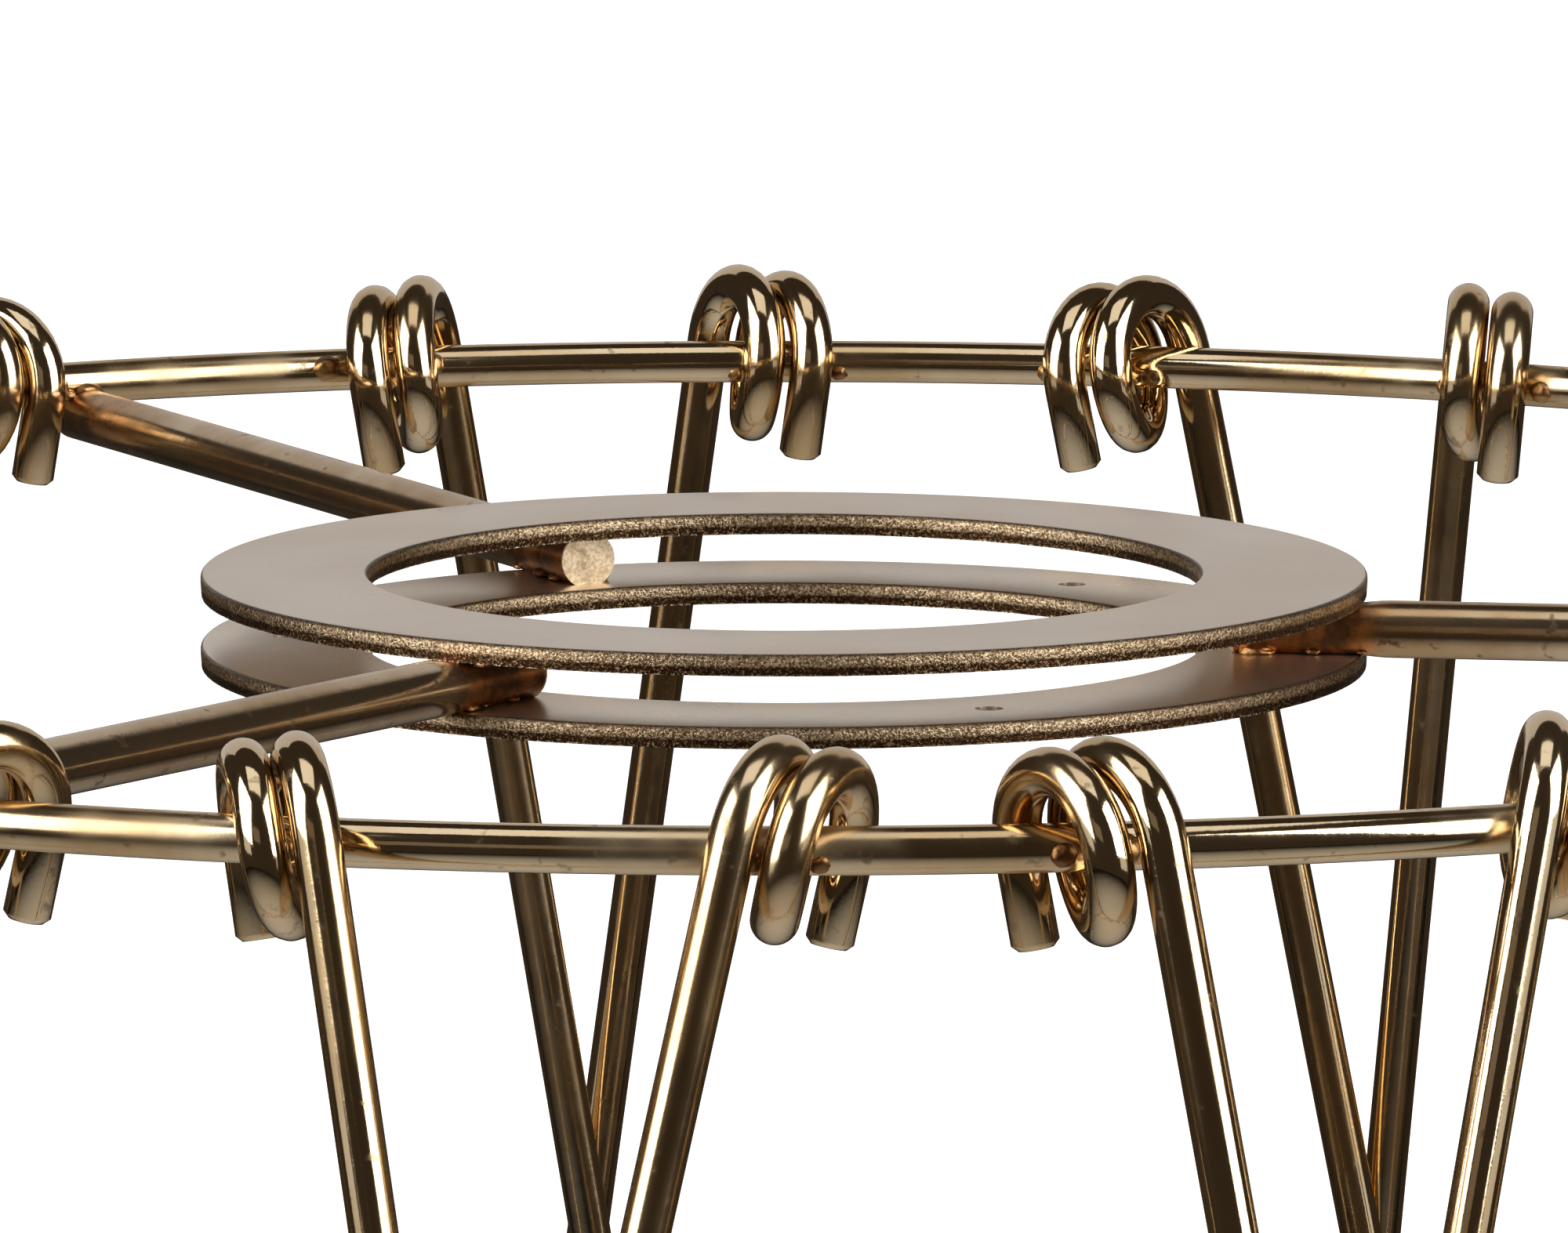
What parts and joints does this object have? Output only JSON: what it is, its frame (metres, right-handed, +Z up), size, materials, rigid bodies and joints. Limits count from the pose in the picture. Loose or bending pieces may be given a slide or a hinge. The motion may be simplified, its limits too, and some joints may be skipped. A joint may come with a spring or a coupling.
{
  "type": "wire lampshade frame",
  "caption": "Round wire lampshade frame: a fitter of flat plates on spokes inside a top ring, with crossed lattice wires hooked round the top ring and a wider bottom ring.",
  "frame": {"origin": "middle of the lamp-holder bore, on the bore's axis and halfway between the outer faces of the two fitter plates", "axes": "+Z up along the bore, away from the lattice; -Y is the front, where the spokes leave the widest gap for a view onto the bore; +X to the right seen from the front"},
  "size_m": [0.2053, 0.2046, 0.1175],
  "materials": {
    "plate_brass": "satin, die-cut edges",
    "spoke_brass": "semi-bright drawn wire",
    "ring_brass": "bright drawn wire",
    "lattice_wire_brass": "mirror-bright drawn wire",
    "weld_metal": "rough weld bead"
  },
  "bodies": {
    "root": {"bottom_ring": "ring_brass", "crossing_welds": "weld_metal", "lower_plate": "plate_brass", "pair_01_inner_wire": "lattice_wire_brass", "pair_01_outer_wire": "lattice_wire_brass", "pair_02_inner_wire": "lattice_wire_brass", "pair_02_outer_wire": "lattice_wire_brass", "pair_03_inner_wire": "lattice_wire_brass", "pair_03_outer_wire": "lattice_wire_brass", "pair_04_inner_wire": "lattice_wire_brass", "pair_04_outer_wire": "lattice_wire_brass", "pair_05_inner_wire": "lattice_wire_brass", "pair_05_outer_wire": "lattice_wire_brass", "pair_06_inner_wire": "lattice_wire_brass", "pair_06_outer_wire": "lattice_wire_brass", "pair_07_inner_wire": "lattice_wire_brass", "pair_07_outer_wire": "lattice_wire_brass", "pair_08_inner_wire": "lattice_wire_brass", "pair_08_outer_wire": "lattice_wire_brass", "pair_09_inner_wire": "lattice_wire_brass", "pair_09_outer_wire": "lattice_wire_brass", "pair_10_inner_wire": "lattice_wire_brass", "pair_10_outer_wire": "lattice_wire_brass", "pair_11_inner_wire": "lattice_wire_brass", "pair_11_outer_wire": "lattice_wire_brass", "pair_12_inner_wire": "lattice_wire_brass", "pair_12_outer_wire": "lattice_wire_brass", "pair_13_inner_wire": "lattice_wire_brass", "pair_13_outer_wire": "lattice_wire_brass", "pair_14_inner_wire": "lattice_wire_brass", "pair_14_outer_wire": "lattice_wire_brass", "spoke_1": "spoke_brass", "spoke_2": "spoke_brass", "spoke_3": "spoke_brass", "spoke_to_ring_welds": "weld_metal", "top_ring": "ring_brass", "upper_plate": "plate_brass"}
  },
  "joints": []
}
